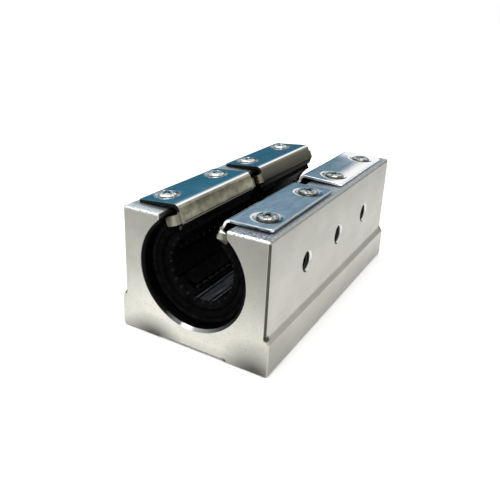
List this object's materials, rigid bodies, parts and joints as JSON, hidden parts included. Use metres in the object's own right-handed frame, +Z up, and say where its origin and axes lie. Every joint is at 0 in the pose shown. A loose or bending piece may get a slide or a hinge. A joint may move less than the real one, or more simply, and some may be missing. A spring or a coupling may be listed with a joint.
{
  "type": "open linear bearing block",
  "caption": "Long open linear bearing block: an aluminium housing with ball bushings held end to end under sheet-metal clips, slotted on top for a supported shaft.",
  "frame": {"origin": "centre of the base's underside, midway between the ends", "axes": "+Y along the shaft, +Z up through the open slot, +X towards the side with the tapped holes"},
  "size_m": [0.048, 0.096, 0.0401],
  "materials": {
    "housing": "satin machined aluminium with fine scratches",
    "bearing_steel": "dark oxidised bearing steel",
    "cage_resin": "black moulded resin, half gloss",
    "seal_rubber": "black nitrile rubber, matt",
    "ball_steel": "polished bearing steel",
    "clip_steel": "bright plated sheet steel",
    "screw_nickel": "bright nickel plate",
    "adjuster_steel": "black oxide steel"
  },
  "bodies": {
    "root": {"housing": "housing", "sleeve_front": "bearing_steel", "cage_front": "cage_resin", "seal_front_a": "seal_rubber", "seal_front_b": "seal_rubber", "ball_row_front_1": "ball_steel", "ball_row_front_2": "ball_steel", "ball_row_front_3": "ball_steel", "ball_row_front_4": "ball_steel", "clip_front_left": "clip_steel", "clip_screws_front_left": "screw_nickel", "clip_front_right": "clip_steel", "clip_screws_front_right": "screw_nickel", "adjusting_screw_front": "adjuster_steel", "sleeve_rear": "bearing_steel", "cage_rear": "cage_resin", "seal_rear_a": "seal_rubber", "seal_rear_b": "seal_rubber", "ball_row_rear_1": "ball_steel", "ball_row_rear_2": "ball_steel", "ball_row_rear_3": "ball_steel", "ball_row_rear_4": "ball_steel", "clip_rear_left": "clip_steel", "clip_screws_rear_left": "screw_nickel", "clip_rear_right": "clip_steel", "clip_screws_rear_right": "screw_nickel", "adjusting_screw_rear": "adjuster_steel"}
  },
  "joints": []
}
